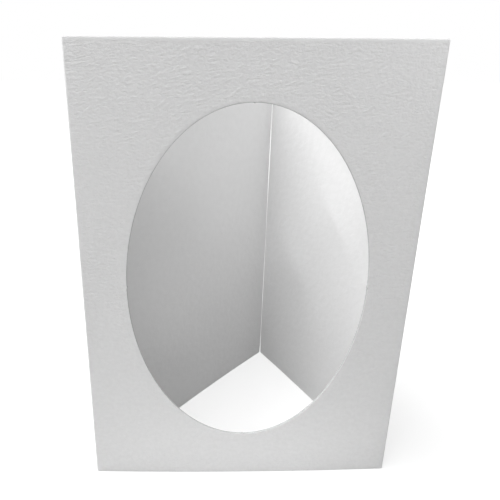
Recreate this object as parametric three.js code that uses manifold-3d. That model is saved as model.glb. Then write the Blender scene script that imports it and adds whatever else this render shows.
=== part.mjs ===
// Tri-fold photo folder: one die-cut sheet of white felt-finish card with three panels and two
// creases, stood on its foot as a three-sided tube. The middle panel holds the oval window and
// faces -Y. The wide cover panel folds back from its left crease and the narrower backing flap
// from its right one, and their free edges meet at the back without being joined.
// Millimetres, +Z up. The origin is on the table, below the middle of the folder's box.

import * as THREE from "three";
import { mergeVertices } from "three/addons/utils/BufferGeometryUtils.js";
import Module from "manifold-3d";

// The sheet: its height, its thickness, and each panel's width from crease to crease or edge
const cardHeight = 177.8;
const cardThickness = 0.6;
const windowPanelWidth = 127;
const coverPanelWidth = 129.5;
const backingFlapWidth = 107;

// How far each panel bulges outwards at its middle, because card never stands quite flat
const windowPanelBow = 1.05;
const coverPanelBow = 1.8;
const backingFlapBow = 1;

// The creases: a small inside radius with the bead that the creasing rule raises there
const creaseInsideRadius = 0.35;
const creaseBead = 0.15;

// The oval window, set by the borders that it leaves, with the four small tabs at its poles where
// the cutting rule is notched to hold the waste piece in the sheet
const windowSideBorder = 17.3;
const windowTopBorder = 20.3;
const windowFootBorder = 20.9;
const tabWidth = 0.9;
const tabHeight = 0.22;

// The die enters at the outer face and leaves a rounded shoulder along every cut edge
const dieShoulder = 0.3;

// The open joint between the free edges: widest high up, closest just below mid-height, a little
// open again below that, and flared at the very foot
const jointGapFoot = 0.56;
const jointGapAboveFoot = 0.15;
const jointGapLow = 0.1;
const jointGapLower = 0.18;
const jointGapLeast = 0.08;
const jointGapWidest = 0.28;
const jointGapTop = 0.1;
const jointFlareHeight = 8;
const jointLowHeight = 20;
const jointLowerHeight = 45;
const jointClosestHeight = 80;
const jointWidestHeight = 134;

// How finely the curves are followed
const panelSteps = 12;
const creaseSteps = 8;
const heightSteps = 14;
const ovalStepsPerQuarter = 24;

const halfThickness = cardThickness / 2;
const shoulderInsets = [0, 0.3 * dieShoulder, dieShoulder];

const wasm = await Module();
wasm.setup();

// The direction to the right of a heading, which is outwards when the tube is walked round
// anticlockwise as seen from above.
function rightOf(heading) {
  return new THREE.Vector2(heading.y, -heading.x);
}

// A bowed panel between two corners of the tube's plan. `point` gives the place at a distance from
// the first corner and at an offset from the sheet's middle, outwards positive.
function bowedPanel(start, end, bow) {
  const width = start.distanceTo(end);
  const along = end.clone().sub(start).normalize();
  const outwards = rightOf(along);

  function heading(distance) {
    const slope = (4 * bow * (width - 2 * distance)) / width ** 2;
    return along.clone().addScaledVector(outwards, slope).normalize();
  }

  function point(distance, offset) {
    const bulge = (4 * bow * distance * (width - distance)) / width ** 2;
    return start
      .clone()
      .addScaledVector(along, distance)
      .addScaledVector(outwards, bulge)
      .addScaledVector(rightOf(heading(distance)), offset);
  }

  return { width, heading, point };
}

// A rounded crease that turns from one heading to the next. `trim` is how much of each panel the
// bend takes up, and `point` gives the place at a share of the turn.
function roundedCrease(corner, arriving, leaving) {
  const middleRadius = creaseInsideRadius + halfThickness;
  const turn = Math.atan2(arriving.cross(leaving), arriving.dot(leaving));
  const trim = middleRadius * Math.tan(turn / 2);
  const outwards = rightOf(arriving);
  const firstAngle = Math.atan2(outwards.y, outwards.x);
  const centre = corner
    .clone()
    .addScaledVector(arriving, -trim)
    .addScaledVector(outwards, -middleRadius);

  function point(share, offset) {
    const angle = firstAngle + share * turn;
    const direction = new THREE.Vector2(Math.cos(angle), Math.sin(angle));
    return centre.clone().addScaledVector(direction, middleRadius + offset);
  }

  return { trim, point };
}

// The tube's plan: the corners from the three widths, then the panels and creases between them
const leftCorner = new THREE.Vector2(-windowPanelWidth / 2, 0);
const rightCorner = new THREE.Vector2(windowPanelWidth / 2, 0);
const backAcross =
  (windowPanelWidth ** 2 + coverPanelWidth ** 2 - backingFlapWidth ** 2) / (2 * windowPanelWidth);
const backCorner = new THREE.Vector2(
  leftCorner.x + backAcross,
  Math.sqrt(coverPanelWidth ** 2 - backAcross ** 2),
);

const cover = bowedPanel(backCorner, leftCorner, coverPanelBow);
const windowPanel = bowedPanel(leftCorner, rightCorner, windowPanelBow);
const flap = bowedPanel(rightCorner, backCorner, backingFlapBow);
const leftCrease = roundedCrease(leftCorner, cover.heading(cover.width), windowPanel.heading(0));
const rightCrease = roundedCrease(
  rightCorner,
  windowPanel.heading(windowPanel.width),
  flap.heading(0),
);

// The width of the open joint at a height, eased from each named height to the next.
const jointStops = [
  { height: 0, gap: jointGapFoot },
  { height: jointFlareHeight, gap: jointGapAboveFoot },
  { height: jointLowHeight, gap: jointGapLow },
  { height: jointLowerHeight, gap: jointGapLower },
  { height: jointClosestHeight, gap: jointGapLeast },
  { height: jointWidestHeight, gap: jointGapWidest },
  { height: cardHeight, gap: jointGapTop },
];

function jointGap(height) {
  let above = 1;
  while (above < jointStops.length - 1 && jointStops[above].height < height) above++;
  const low = jointStops[above - 1];
  const high = jointStops[above];
  const share = THREE.MathUtils.smoothstep(height, low.height, high.height);
  return THREE.MathUtils.lerp(low.gap, high.gap, share);
}

// How far both free edges stop short of the back corner, so that their inner arrises are one
// joint gap apart.
function edgeSetback(height) {
  const coverLeaves = cover.heading(0);
  const flapLeaves = flap.heading(flap.width).negate();
  const halfAngle = Math.acos(coverLeaves.dot(flapLeaves)) / 2;
  return (
    (jointGap(height) + cardThickness * Math.cos(halfAngle)) / (2 * Math.sin(halfAngle))
  );
}

// The sheet's columns, in order from the cover's free edge round to the flap's. Each has its plan
// place at a height and an offset, its distance from the free edge, and its bead.
function sheetColumns() {
  const columns = [];

  function addPanel(panel, firstTrim, lastTrim, firstInsets, lastInsets) {
    const stops = [];
    for (const inset of firstInsets) stops.push({ share: 0, shift: inset, inset });
    for (let i = 1; i < panelSteps; i++) {
      stops.push({ share: i / panelSteps, shift: 0, inset: Infinity });
    }
    for (const inset of lastInsets) stops.push({ share: 1, shift: -inset, inset });
    for (const { share, shift, inset } of stops) {
      const place = (height, offset) => {
        const first = firstTrim(height);
        const last = panel.width - lastTrim(height);
        return panel.point(first + (last - first) * share + shift, offset);
      };
      columns.push({ place, inset, bead: 0 });
    }
  }

  function addCrease(crease) {
    for (let i = 0; i <= creaseSteps; i++) {
      const share = i / creaseSteps;
      const place = (height, offset) => crease.point(share, offset);
      columns.push({ place, inset: Infinity, bead: creaseBead * Math.sin(Math.PI * share) ** 2 });
    }
  }

  const leftTrim = () => leftCrease.trim;
  const rightTrim = () => rightCrease.trim;
  addPanel(cover, edgeSetback, leftTrim, shoulderInsets, []);
  addCrease(leftCrease);
  addPanel(windowPanel, leftTrim, rightTrim, [], []);
  addCrease(rightCrease);
  addPanel(flap, rightTrim, edgeSetback, [], shoulderInsets.toReversed());
  return columns;
}

// The heights of the sheet's rows. They are closer near the foot, where the joint flares.
function sheetRows() {
  const rows = [...shoulderInsets];
  for (let i = 1; i < heightSteps; i++) {
    rows.push(cardHeight * (i / heightSteps) ** 1.4);
  }
  for (const inset of shoulderInsets.toReversed()) rows.push(cardHeight - inset);
  return rows;
}

// How far the outer face stands off the sheet's middle, at a distance from the nearest cut edge.
function outerOffset(inset) {
  const missing = Math.max(0, dieShoulder - inset);
  return halfThickness - dieShoulder + Math.sqrt(dieShoulder ** 2 - missing ** 2);
}

function solidFrom(positions, triangles) {
  const geometry = new THREE.BufferGeometry();
  geometry.setAttribute("position", new THREE.Float32BufferAttribute(positions, 3));
  geometry.setIndex(triangles);
  const merged = mergeVertices(geometry, 1e-4);
  return new wasm.Manifold(
    new wasm.Mesh({
      numProp: 3,
      vertProperties: merged.attributes.position.array,
      triVerts: new Uint32Array(merged.index.array),
    }),
  );
}

// The folded sheet before its window is cut: an inner and an outer face on the same grid of
// columns and rows, closed along the foot, the top and both free edges.
function foldedSheet() {
  const columns = sheetColumns();
  const rows = sheetRows();
  const positions = [];
  const triangles = [];

  for (const column of columns) {
    for (const height of rows) {
      const inset = Math.min(column.inset, height, cardHeight - height);
      for (const offset of [-halfThickness - column.bead, outerOffset(inset)]) {
        const { x, y } = column.place(height, offset);
        positions.push(x, y, height);
      }
    }
  }

  const inner = (i, j) => 2 * (i * rows.length + j);
  const outer = (i, j) => inner(i, j) + 1;
  const quad = (a, b, c, d) => triangles.push(a, b, c, a, c, d);
  const lastColumn = columns.length - 1;
  const lastRow = rows.length - 1;

  for (let i = 0; i < lastColumn; i++) {
    for (let j = 0; j < lastRow; j++) {
      quad(outer(i, j), outer(i + 1, j), outer(i + 1, j + 1), outer(i, j + 1));
      quad(inner(i, j), inner(i, j + 1), inner(i + 1, j + 1), inner(i + 1, j));
    }
    quad(outer(i, 0), inner(i, 0), inner(i + 1, 0), outer(i + 1, 0));
    quad(outer(i, lastRow), outer(i + 1, lastRow), inner(i + 1, lastRow), inner(i, lastRow));
  }
  for (let j = 0; j < lastRow; j++) {
    quad(outer(0, j), outer(0, j + 1), inner(0, j + 1), inner(0, j));
    quad(
      outer(lastColumn, j),
      inner(lastColumn, j),
      inner(lastColumn, j + 1),
      outer(lastColumn, j + 1),
    );
  }
  return solidFrom(positions, triangles);
}

// The angles round the oval with how far its edge steps in there. At each pole a tab stands in.
function ovalStops(halfWidth, halfHeight) {
  const stops = [];
  for (let quarter = 0; quarter < 4; quarter++) {
    const pole = (quarter * Math.PI) / 2;
    const nextPole = pole + Math.PI / 2;
    const reach = quarter % 2 === 0 ? halfHeight : halfWidth;
    const nextReach = quarter % 2 === 0 ? halfWidth : halfHeight;
    const first = pole + tabWidth / 2 / reach;
    const last = nextPole - tabWidth / 2 / nextReach;
    stops.push({ angle: pole + tabWidth / 3 / reach, stepIn: tabHeight });
    for (let i = 0; i <= ovalStepsPerQuarter; i++) {
      stops.push({ angle: first + ((last - first) * i) / ovalStepsPerQuarter, stepIn: 0 });
    }
    stops.push({ angle: nextPole - tabWidth / 3 / nextReach, stepIn: tabHeight });
  }
  return stops;
}

// The punch for the window: rings of the oval that follow the bowed outer face, flared there to
// leave the rounded shoulder, and straight through the sheet.
function windowPunch() {
  const halfWidth = windowPanelWidth / 2 - windowSideBorder;
  const halfHeight = (cardHeight - windowTopBorder - windowFootBorder) / 2;
  const centreHeight = windowFootBorder + halfHeight;
  const reach = 4 * cardThickness;
  const stops = ovalStops(halfWidth, halfHeight);
  const rings = [
    { depth: -reach, flare: dieShoulder },
    ...shoulderInsets.map((inset) => ({
      depth: halfThickness - outerOffset(dieShoulder - inset),
      flare: dieShoulder - inset,
    })),
    { depth: cardThickness + reach, flare: 0 },
  ];

  const positions = [];
  const triangles = [];
  const addPoint = (x, z, depth) => {
    const { y } = windowPanel.point(x + windowPanelWidth / 2, halfThickness - depth);
    positions.push(x, y, z);
  };
  for (const { depth, flare } of rings) {
    for (const { angle, stepIn } of stops) {
      const grow = flare - stepIn;
      const x = (halfWidth + grow) * Math.cos(angle);
      const z = centreHeight + (halfHeight + grow) * Math.sin(angle);
      addPoint(x, z, depth);
    }
  }
  const frontCentre = positions.length / 3;
  addPoint(0, centreHeight, rings[0].depth);
  const backCentre = frontCentre + 1;
  addPoint(0, centreHeight, rings.at(-1).depth);

  const count = stops.length;
  const lastRing = (rings.length - 1) * count;
  for (let i = 0; i < count; i++) {
    const next = (i + 1) % count;
    for (let start = 0; start < lastRing; start += count) {
      const a = start + i;
      const b = start + next;
      triangles.push(a, a + count, b + count, a, b + count, b);
    }
    triangles.push(frontCentre, i, next);
    triangles.push(backCentre, lastRing + next, lastRing + i);
  }
  return solidFrom(positions, triangles);
}

// The finished folder as one mesh.
function foldedCard() {
  const solid = foldedSheet().subtract(windowPunch());
  const { vertProperties, triVerts } = solid.getMesh();
  const geometry = new THREE.BufferGeometry();
  geometry.setAttribute("position", new THREE.BufferAttribute(vertProperties, 3));
  geometry.setIndex(new THREE.BufferAttribute(triVerts, 1));
  geometry.computeVertexNormals();
  geometry.computeBoundingBox();

  const material = new THREE.MeshStandardMaterial({
    color: 0xf3f2ef,
    roughness: 0.9,
    metalness: 0,
  });
  const mesh = new THREE.Mesh(geometry, material);
  mesh.name = "folded_card";
  const middle = geometry.boundingBox.getCenter(new THREE.Vector3());
  mesh.position.set(-middle.x, -middle.y, 0);
  return mesh;
}

const folder = new THREE.Group();
folder.add(foldedCard());

export default folder;
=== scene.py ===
import math

import bmesh
import bpy
from mathutils import Matrix, Vector


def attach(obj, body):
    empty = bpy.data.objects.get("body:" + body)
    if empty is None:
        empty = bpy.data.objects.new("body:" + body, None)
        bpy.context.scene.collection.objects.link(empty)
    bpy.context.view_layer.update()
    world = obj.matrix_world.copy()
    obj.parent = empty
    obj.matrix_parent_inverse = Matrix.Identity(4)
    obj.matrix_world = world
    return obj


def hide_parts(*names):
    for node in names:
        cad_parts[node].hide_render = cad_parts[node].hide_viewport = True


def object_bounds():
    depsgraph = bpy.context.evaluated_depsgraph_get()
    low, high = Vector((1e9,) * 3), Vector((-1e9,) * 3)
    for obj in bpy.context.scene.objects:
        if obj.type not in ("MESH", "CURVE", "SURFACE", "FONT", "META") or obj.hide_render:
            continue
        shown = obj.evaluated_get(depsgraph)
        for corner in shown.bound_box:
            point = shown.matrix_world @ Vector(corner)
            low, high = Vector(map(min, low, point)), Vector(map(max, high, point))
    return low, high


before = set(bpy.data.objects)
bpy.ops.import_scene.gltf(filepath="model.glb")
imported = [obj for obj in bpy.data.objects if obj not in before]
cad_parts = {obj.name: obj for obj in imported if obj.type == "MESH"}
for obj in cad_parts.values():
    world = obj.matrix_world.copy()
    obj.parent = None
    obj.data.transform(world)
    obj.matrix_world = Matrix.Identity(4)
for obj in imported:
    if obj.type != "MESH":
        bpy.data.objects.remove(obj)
cad_low, cad_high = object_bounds()
scene = bpy.context.scene

# The camera
# It looks down on the standing folder from in front and a little to its left, through the oval to
# the back corner. The picture is the left part of a wider one, so the lens is shifted sideways.
camera_data = bpy.data.cameras.new("camera")
camera_data.sensor_width = 36
camera_data.lens = 36
camera_data.shift_x = 0.0923
camera_data.shift_y = -0.005
camera = bpy.data.objects.new("camera", camera_data)
scene.collection.objects.link(camera)
scene.camera = camera
camera_place = Vector((-0.02068, -0.22400, 0.16864))
camera_yaw = math.radians(1.197)
camera_pitch = math.radians(19.853)
camera_roll = math.radians(0.378)
forward = Vector((
    math.sin(camera_yaw) * math.cos(camera_pitch),
    math.cos(camera_yaw) * math.cos(camera_pitch),
    -math.sin(camera_pitch),
))
level_right = Vector((math.cos(camera_yaw), -math.sin(camera_yaw), 0))
level_up = level_right.cross(forward)
right = level_right * math.cos(camera_roll) + level_up * math.sin(camera_roll)
up = level_up * math.cos(camera_roll) - level_right * math.sin(camera_roll)
turned = Matrix((right, up, -forward)).transposed().to_4x4()
camera.matrix_world = Matrix.Translation(camera_place) @ turned

# The blank
# The folder is one sheet of white felt-finish card, cut and creased flat by a steel-rule die. It
# is drawn flat too, with its outer face to -Y, and each folded panel will be a shallow parabola.
card_height = cad_high[2]
card_thickness = 0.0006
window_panel_width = 0.127
cover_panel_width = 0.1295
backing_flap_width = 0.107
window_panel_bow = 0.00105
cover_panel_bow = 0.0018
backing_flap_bow = 0.001
crease_inside_radius = 0.0001
crease_middle_radius = crease_inside_radius + card_thickness / 2


# Headings run round the folder as seen from above, with its outside at their right.
def right_of(heading):
    return Vector((heading.y, -heading.x))


def bowed_heading(start, end, bow, share):
    along = (end - start).normalized()
    slope = 4 * bow * (1 - 2 * share) / (end - start).length
    return (along + right_of(along) * slope).normalized()


# The corners of the folded card, seen from above, and how far each crease turns.
left_corner = Vector((-window_panel_width / 2, 0))
right_corner = Vector((window_panel_width / 2, 0))
back_across = (
    window_panel_width ** 2 + cover_panel_width ** 2 - backing_flap_width ** 2
) / (2 * window_panel_width)
back_corner = Vector((
    left_corner.x + back_across,
    math.sqrt(cover_panel_width ** 2 - back_across ** 2),
))


def turn_between(arriving, leaving):
    return math.atan2(
        arriving.x * leaving.y - arriving.y * leaving.x,
        arriving.dot(leaving),
    )


left_arrival = bowed_heading(back_corner, left_corner, cover_panel_bow, 1)
left_turn = turn_between(
    left_arrival,
    bowed_heading(left_corner, right_corner, window_panel_bow, 0),
)
right_arrival = bowed_heading(left_corner, right_corner, window_panel_bow, 1)
right_turn = turn_between(
    right_arrival,
    bowed_heading(right_corner, back_corner, backing_flap_bow, 0),
)

# The flat blank from left to right: cover panel, crease, window panel, crease, backing flap. Each
# crease takes a strip of the card, so the panels beside it are trimmed by where its arc begins.
left_trim = crease_middle_radius * math.tan(left_turn / 2)
right_trim = crease_middle_radius * math.tan(right_turn / 2)
left_crease_width = crease_middle_radius * left_turn
right_crease_width = crease_middle_radius * right_turn
cover_flat_width = cover_panel_width - left_trim
flap_flat_width = backing_flap_width - right_trim
panel_left = left_corner.x + left_trim
panel_right = right_corner.x - right_trim
cover_start = panel_left - left_crease_width
flap_start = panel_right + right_crease_width
blank_left = cover_start - cover_flat_width
blank_right = flap_start + flap_flat_width
blank_width = blank_right - blank_left

# The oval window. The cutting rule is notched at its four poles, and leaves a small tab at each.
window_side_border = 0.0173
window_top_border = 0.0203
window_foot_border = 0.0209
window_half_width = window_panel_width / 2 - window_side_border
window_half_height = (card_height - window_top_border - window_foot_border) / 2
window_centre = window_foot_border + window_half_height
tab_width = 0.0009
tab_height = 0.00022
tab_slope_share = 0.35
tab_half_angle = tab_width / (window_half_width + window_half_height)
quarter_steps = 64


def oval_point(angle, step_in):
    return Vector((
        (window_half_width - step_in) * math.cos(angle),
        0,
        window_centre + (window_half_height - step_in) * math.sin(angle),
    ))


def panel_edge_point(angle):
    across = math.cos(angle)
    rise = math.sin(angle)
    reach = max(abs(across), abs(rise))
    side = panel_right if across > 0 else -panel_left
    height = card_height - window_centre if rise > 0 else window_centre
    return Vector((side * across / reach, 0, window_centre + height * rise / reach))


oval_stops = []
for quarter in range(4):
    first = quarter * math.pi / 2 + tab_half_angle
    last = (quarter + 1) * math.pi / 2 - tab_half_angle
    oval_stops.append((first - tab_half_angle * tab_slope_share, tab_height))
    for step in range(quarter_steps + 1):
        oval_stops.append((first + (last - first) * step / quarter_steps, 0))
    oval_stops.append((last + tab_half_angle * tab_slope_share, tab_height))

card = bmesh.new()
angle_layer = card.verts.layers.float.new("angle")
made = bmesh.ops.create_circle(card, cap_ends=False, radius=1, segments=len(oval_stops))
for vertex, (angle, step_in) in zip(made["verts"], oval_stops):
    vertex.co = oval_point(angle, step_in)
    vertex[angle_layer] = angle


def grow_edges(edges):
    grown = bmesh.ops.extrude_edge_only(card, edges=edges)["geom"]
    new_verts = {item for item in grown if isinstance(item, bmesh.types.BMVert)}
    new_edges = [
        item for item in grown
        if isinstance(item, bmesh.types.BMEdge) and set(item.verts) <= new_verts
    ]
    return new_verts, new_edges


# The window panel grows from the oval in rings, each at its share of the way to the panel's edge.
ring_shares = (0.04, 0.12, 0.24, 0.38, 0.54, 0.7, 0.86, 1)
ring = list(card.edges)
for share in ring_shares:
    ring_verts, ring = grow_edges(ring)
    for vertex in ring_verts:
        angle = vertex[angle_layer]
        vertex.co = oval_point(angle, 0).lerp(panel_edge_point(angle), share)

# The creases and the side panels grow from the window panel's upright edges in narrow strips.
crease_steps = 12
panel_steps = 40
edge_tolerance = 1e-6
for side, edge_x, crease_width, flat_width in (
    (-1, panel_left, left_crease_width, cover_flat_width),
    (1, panel_right, right_crease_width, flap_flat_width),
):
    edges = [
        edge for edge in ring
        if all(abs(vertex.co.x - edge_x) < edge_tolerance for vertex in edge.verts)
    ]
    for width, steps in ((crease_width, crease_steps), (flat_width, panel_steps)):
        for _ in range(steps):
            strip_verts, edges = grow_edges(edges)
            for vertex in strip_verts:
                vertex.co.x += side * width / steps

# Rows across the sheet let the joint flare at the foot, and bound the pressed top and foot bands.
pressed_band = 0.0012
foot_rows = (0.0025, 0.004, 0.006, 0.008)
for row_height in (pressed_band, *foot_rows, card_height - pressed_band):
    bmesh.ops.bisect_plane(
        card,
        geom=card.verts[:] + card.edges[:] + card.faces[:],
        plane_co=(0, 0, row_height),
        plane_no=(0, 0, 1),
    )

# Die-cut edges
# The die enters at the outer face. It leaves a small rounded shoulder there along every cut edge,
# and a sharp arris at the inner face.
die_shoulder = 0.0003
shoulder_segments = 3
flat_facing = 0.9
bmesh.ops.recalc_face_normals(card, faces=card.faces[:])
if card.faces[0].normal.y < 0:
    bmesh.ops.reverse_faces(card, faces=card.faces[:])
for vertex in card.verts:
    vertex.co.y = card_thickness / 2
thick = bmesh.ops.extrude_face_region(card, geom=card.faces[:])["geom"]
for item in thick:
    if isinstance(item, bmesh.types.BMVert):
        item.co.y = -card_thickness / 2
bmesh.ops.recalc_face_normals(card, faces=card.faces[:])


def faces_front(face):
    return face.normal.y < -flat_facing


def faces_back(face):
    return face.normal.y > flat_facing


shoulder_edges = [
    edge for edge in card.edges
    if sum(faces_front(face) for face in edge.link_faces) == 1
]
bmesh.ops.bevel(
    card,
    geom=shoulder_edges,
    affect="EDGES",
    offset=die_shoulder,
    segments=shoulder_segments,
    profile=0.5,
    material=-1,
)


def pressed_flat(face):
    middle = face.calc_center_median()
    in_crease = cover_start < middle.x < panel_left or panel_right < middle.x < flap_start
    return in_crease or not pressed_band < middle.z < card_height - pressed_band


# The finish is told apart while the blank is flat: felt outside, smooth inside, bare fibre at the
# cuts in a darker grey that is partly painted shade, and felt pressed nearly flat in the creases
# and along the top and foot edges.
felt_index, smooth_index, cut_index, flattened_index = range(4)
flat_map = card.loops.layers.uv.new("blank")
for face in card.faces:
    face.smooth = True
    if faces_front(face):
        face.material_index = flattened_index if pressed_flat(face) else felt_index
    elif faces_back(face):
        face.material_index = smooth_index
    else:
        face.material_index = cut_index
    for loop in face.loops:
        place = loop.vert.co
        loop[flat_map].uv = (
            (place.x + place.y - blank_left) / blank_width,
            (place.z + place.y) / blank_width,
        )
for edge in card.edges:
    inner_sides = {faces_back(face) for face in edge.link_faces}
    edge.smooth = len(inner_sides) == 1

# Folding
# Each side panel is turned back at its crease, which rounds the outside and raises a small bead
# inside. The free edges meet at the back in an open joint, given here by height and gap.
crease_bead = 0.00006
joint_stops = (
    (0, 0.00056),
    (0.008, 0.00015),
    (0.020, 0.00010),
    (0.045, 0.00018),
    (0.080, 0.00008),
    (0.134, 0.00028),
    (card_height, 0.00010),
)
cover_leaving = bowed_heading(back_corner, left_corner, cover_panel_bow, 0)
flap_leaving = -bowed_heading(right_corner, back_corner, backing_flap_bow, 1)
joint_half_angle = math.acos(cover_leaving.dot(flap_leaving)) / 2


def edge_setback(height):
    for (low, low_gap), (high, high_gap) in zip(joint_stops, joint_stops[1:]):
        if height <= high:
            break
    share = min(1, (height - low) / (high - low))
    gap = low_gap + (high_gap - low_gap) * share * share * (3 - 2 * share)
    width = gap + card_thickness * math.cos(joint_half_angle)
    return width / (2 * math.sin(joint_half_angle))


def panel_place(start, end, bow, distance, offset):
    width = (end - start).length
    along = (end - start).normalized()
    share = distance / width
    bulge = 4 * bow * share * (1 - share)
    outwards = right_of(bowed_heading(start, end, bow, share))
    return start + along * distance + right_of(along) * bulge + outwards * offset


def crease_place(corner, arriving, turn, trim, share, offset):
    outwards = right_of(arriving)
    centre = corner - arriving * trim - outwards * crease_middle_radius
    spread = outwards.copy()
    spread.rotate(Matrix.Rotation(share * turn, 2))
    if offset < 0:
        offset -= crease_bead * math.sin(math.pi * share) ** 2
    return centre + spread * (crease_middle_radius + offset)


# Handling has left two slanting swells inwards in the flap and an upright one beside the left
# fold. Each is its middle's distance and height, its slant in degrees, length, width and rise.
flap_swells = (
    (0.077, 0.069, 48, 0.016, 0.009, 0.0009),
    (0.046, 0.098, 48, 0.018, 0.005, 0.0004),
)
window_swells = ((0.009, 0.080, 90, 0.026, 0.006, 0.00022),)


def handling_swell(swells, distance, height):
    swell = 0
    for middle, middle_height, slant, length, width, rise in swells:
        across, upwards = distance - middle, height - middle_height
        slant = math.radians(slant)
        lengthwise = across * math.cos(slant) + upwards * math.sin(slant)
        sideways = upwards * math.cos(slant) - across * math.sin(slant)
        swell += rise * math.exp(-(lengthwise / length) ** 2 - (sideways / width) ** 2)
    return swell


# A point of the blank keeps its height. How far along the blank it lies gives its place on a panel
# or round a crease, and its depth in the sheet gives how far outwards it stands there.
def fold(place):
    along, height, offset = place.x, place.z, -place.y
    if along < cover_start:
        share = (cover_start - along) / (cover_start - blank_left)
        distance = cover_flat_width - share * (cover_flat_width - edge_setback(height))
        flat = panel_place(back_corner, left_corner, cover_panel_bow, distance, offset)
    elif along < panel_left:
        share = (along - cover_start) / left_crease_width
        flat = crease_place(left_corner, left_arrival, left_turn, left_trim, share, offset)
    elif along <= panel_right:
        distance = along - left_corner.x
        offset -= handling_swell(window_swells, distance, height)
        flat = panel_place(left_corner, right_corner, window_panel_bow, distance, offset)
    elif along < flap_start:
        share = (along - panel_right) / right_crease_width
        flat = crease_place(right_corner, right_arrival, right_turn, right_trim, share, offset)
    else:
        share = (along - flap_start) / (blank_right - flap_start)
        distance = right_trim + share * (flap_flat_width - edge_setback(height))
        offset -= handling_swell(flap_swells, distance, height)
        flat = panel_place(right_corner, back_corner, backing_flap_bow, distance, offset)
    return Vector((flat.x, flat.y, height))


for vertex in card.verts:
    vertex.co = fold(vertex.co)
low_x, high_x = (pick(vertex.co.x for vertex in card.verts) for pick in (min, max))
low_y, high_y = (pick(vertex.co.y for vertex in card.verts) for pick in (min, max))
centring = Vector((-(low_x + high_x) / 2, -(low_y + high_y) / 2, 0))
bmesh.ops.translate(card, verts=card.verts[:], vec=centring)

card_mesh = bpy.data.meshes.new("card")
card.to_mesh(card_mesh)
card.free()
card_object = bpy.data.objects.new("card", card_mesh)
scene.collection.objects.link(card_object)
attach(card_object, "root")
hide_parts("folded_card")


# Card finishes
# The outer face is felt-marked: short soft ripples, mostly level, pressed into a matt white stock.
# The inner face is smoother. The cut edges show the bare fibre in a darker grey that is partly
# painted shade, for the shaded line along the oval's upper rim.
def card_material(name, darkest, lightest, cloud_scale, roughness):
    material = bpy.data.materials.new(name)
    material.use_nodes = True
    tree = material.node_tree
    shader = tree.nodes["Principled BSDF"]
    shader.inputs["Roughness"].default_value = roughness
    shader.inputs["Specular IOR Level"].default_value = 0.3
    blank_place = tree.nodes.new("ShaderNodeUVMap")
    blank_place.uv_map = "blank"
    clouds = tree.nodes.new("ShaderNodeTexNoise")
    clouds.inputs["Scale"].default_value = cloud_scale
    clouds.inputs["Detail"].default_value = 3
    clouds.inputs["Roughness"].default_value = 0.6
    tint = tree.nodes.new("ShaderNodeValToRGB")
    dark_end, light_end = tint.color_ramp.elements
    dark_end.position = 0.35
    dark_end.color = (darkest, darkest, darkest, 1)
    light_end.position = 0.65
    light_end.color = (lightest, lightest, lightest, 1)
    tree.links.new(blank_place.outputs["UV"], clouds.inputs["Vector"])
    tree.links.new(clouds.outputs["Fac"], tint.inputs["Fac"])
    tree.links.new(tint.outputs["Color"], shader.inputs["Base Color"])
    card_mesh.materials.append(material)
    return tree, shader, blank_place


def pressed_relief(tree, shader, blank_place, mark_length, mark_height, lean, detail, depth):
    stretch = tree.nodes.new("ShaderNodeMapping")
    stretch.vector_type = "TEXTURE"
    stretch.inputs["Scale"].default_value = (
        mark_length / blank_width, mark_height / blank_width, 1,
    )
    stretch.inputs["Rotation"].default_value = (0, 0, math.radians(lean))
    ripples = tree.nodes.new("ShaderNodeTexNoise")
    ripples.inputs["Scale"].default_value = 1
    ripples.inputs["Detail"].default_value = detail
    ripples.inputs["Roughness"].default_value = 0.55
    ripples.inputs["Distortion"].default_value = 0.2
    relief = tree.nodes.new("ShaderNodeBump")
    relief.inputs["Strength"].default_value = 1
    relief.inputs["Distance"].default_value = depth
    tree.links.new(blank_place.outputs["UV"], stretch.inputs["Vector"])
    tree.links.new(stretch.outputs["Vector"], ripples.inputs["Vector"])
    tree.links.new(ripples.outputs["Fac"], relief.inputs["Height"])
    tree.links.new(relief.outputs["Normal"], shader.inputs["Normal"])


# The finishes are made in the order of their indices on the faces. Marks, heights and depths are
# real lengths on the card, and the lean is in degrees.
felt_stock = {"darkest": 0.838, "lightest": 0.870, "cloud_scale": 200, "roughness": 0.9}
felt_marks = {"mark_length": 0.0014, "mark_height": 0.0009, "lean": 7, "detail": 4}
smooth_stock = {"darkest": 0.860, "lightest": 0.880, "cloud_scale": 110, "roughness": 0.85}
smooth_marks = {"mark_length": 0.0030, "mark_height": 0.0030, "lean": 0, "detail": 2}
# The cut edges' darker grey is partly the bare fibre's duller tone and partly painted shade, which
# darkens the line along the oval's upper rim.
fibre_and_shade_stock = {"darkest": 0.53, "lightest": 0.59, "cloud_scale": 300, "roughness": 0.95}
fibre_marks = {"mark_length": 0.0005, "mark_height": 0.0005, "lean": 0, "detail": 2}
for name, stock, marks, depth in (
    ("felt_face", felt_stock, felt_marks, 0.00029),
    ("smooth_back", smooth_stock, smooth_marks, 0.00014),
    ("cut_edge", fibre_and_shade_stock, fibre_marks, 0.00001),
    ("flattened_felt", felt_stock, felt_marks, 0.00006),
):
    pressed_relief(*card_material(name, **stock), **marks, depth=depth)

# The floor
# A plain white sweep. It shows as white to the camera, keeps the folder's soft shadow, and turns
# fully white farther off, where the lamps no longer reach it.
floor_reach = 6
floor_grey = 0.4
lift_near = 0.15
lift_far = 0.5
near_strength = 0.63
floor = bmesh.new()
bmesh.ops.create_grid(floor, x_segments=1, y_segments=1, size=floor_reach)
floor_mesh = bpy.data.meshes.new("floor")
floor.to_mesh(floor_mesh)
floor.free()
floor_object = bpy.data.objects.new("floor", floor_mesh)
scene.collection.objects.link(floor_object)


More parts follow.
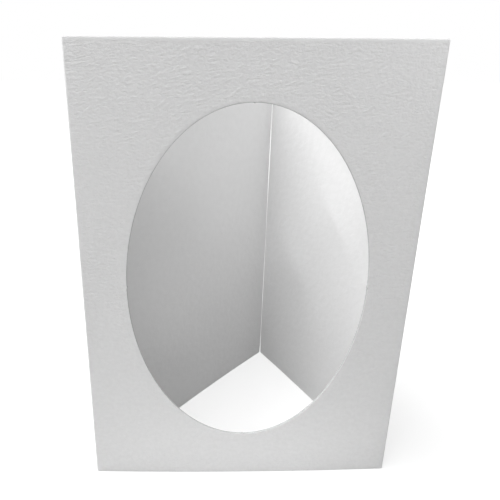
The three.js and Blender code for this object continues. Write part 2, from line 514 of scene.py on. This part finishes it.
# One for rays from the camera, from gloss and through glass, and nothing for the rays that only
# gather light, so that a white background never lights the card.
def seen_directly(tree):
    rays = tree.nodes.new("ShaderNodeLightPath")
    seen_sharp = tree.nodes.new("ShaderNodeMath")
    seen_sharp.operation = "MAXIMUM"
    seen = tree.nodes.new("ShaderNodeMath")
    seen.operation = "MAXIMUM"
    tree.links.new(rays.outputs["Is Glossy Ray"], seen_sharp.inputs[0])
    tree.links.new(rays.outputs["Is Transmission Ray"], seen_sharp.inputs[1])
    tree.links.new(rays.outputs["Is Camera Ray"], seen.inputs[0])
    tree.links.new(seen_sharp.outputs[0], seen.inputs[1])
    return seen.outputs[0]


floor_material = bpy.data.materials.new("white_floor")
floor_material.use_nodes = True
floor_tree = floor_material.node_tree
floor_nodes = floor_tree.nodes
floor_shader = floor_nodes["Principled BSDF"]
floor_shader.inputs["Base Color"].default_value = (floor_grey, floor_grey, floor_grey, 1)
floor_shader.inputs["Roughness"].default_value = 1
floor_shader.inputs["Specular IOR Level"].default_value = 0
lift = floor_nodes.new("ShaderNodeMath")
lift.operation = "MULTIPLY"
floor_place = floor_nodes.new("ShaderNodeTexCoord")
floor_distance = floor_nodes.new("ShaderNodeVectorMath")
floor_distance.operation = "LENGTH"
far_lift = floor_nodes.new("ShaderNodeMapRange")
far_lift.interpolation_type = "SMOOTHSTEP"
far_lift.inputs["From Min"].default_value = lift_near
far_lift.inputs["From Max"].default_value = lift_far
far_lift.inputs["To Min"].default_value = near_strength
far_lift.inputs["To Max"].default_value = 1
floor_tree.links.new(floor_place.outputs["Object"], floor_distance.inputs[0])
floor_tree.links.new(floor_distance.outputs["Value"], far_lift.inputs["Value"])
floor_tree.links.new(far_lift.outputs["Result"], lift.inputs[1])
floor_shader.inputs["Emission Color"].default_value = (1, 1, 1, 1)
floor_tree.links.new(seen_directly(floor_tree), lift.inputs[0])
floor_tree.links.new(lift.outputs[0], floor_shader.inputs["Emission Strength"])
floor_mesh.materials.append(floor_material)


# Soft studio light
# Large soft lamps stand overhead, mostly at the left and the front, with a low one at the front
# left and a fill behind. Two small cards throw light back at the foot and the top right corner.
def soft_lamp(name, place, aim_point, width, depth, power):
    lamp_data = bpy.data.lights.new(name, "AREA")
    lamp_data.shape = "RECTANGLE"
    lamp_data.size = width
    lamp_data.size_y = depth
    lamp_data.energy = power
    lamp = bpy.data.objects.new(name, lamp_data)
    scene.collection.objects.link(lamp)
    lamp.location = place
    aim = Vector(aim_point) - Vector(place)
    lamp.rotation_euler = aim.to_track_quat("-Z", "Y").to_euler()


folder_middle = (0, 0, 0.09)
lamp_side = 0.7
for name, place, power in (
    ("overhead_left", (-0.477, 0.173, 1.178), 13.7),
    ("overhead_front_left", (-0.359, -0.359, 1.178), 4.2),
    ("overhead_front", (-0.131, -0.490, 1.178), 5.4),
    ("overhead_right", (0.359, -0.359, 1.178), 0.5),
    ("low_front_left", (-0.797, -0.797, 0.500), 2.3),
    ("back_right_fill", (0.805, 0.564, 0.778), 2.8),
):
    soft_lamp(name, place, folder_middle, lamp_side, lamp_side, power)
soft_lamp(
    "table_bounce", (0.0, -0.088, 0.002),
    aim_point=(0.0, -0.049, 0.01), width=0.12, depth=0.02, power=0.0093,
)
soft_lamp(
    "corner_bounce", (0.118, -0.098, 0.215),
    aim_point=(0.06, -0.05, 0.155), width=0.06, depth=0.06, power=0.016,
)

# The room
# A dim white room fills the shadows. Seen directly, it is the plain white backdrop.
room_strength = 0.14
world = bpy.data.worlds.new("room")
world.use_nodes = True
world_tree = world.node_tree
world_nodes = world_tree.nodes
room_light = world_nodes["Background"]
room_light.inputs["Color"].default_value = (1, 1, 1, 1)
room_light.inputs["Strength"].default_value = room_strength
backdrop = world_nodes.new("ShaderNodeBackground")
backdrop.inputs["Color"].default_value = (1, 1, 1, 1)
backdrop.inputs["Strength"].default_value = 1
room_mix = world_nodes.new("ShaderNodeMixShader")
world_tree.links.new(seen_directly(world_tree), room_mix.inputs["Fac"])
world_tree.links.new(room_light.outputs[0], room_mix.inputs[1])
world_tree.links.new(backdrop.outputs[0], room_mix.inputs[2])
world_tree.links.new(room_mix.outputs[0], world_nodes["World Output"].inputs["Surface"])
scene.world = world
scene.view_settings.view_transform = "Standard"
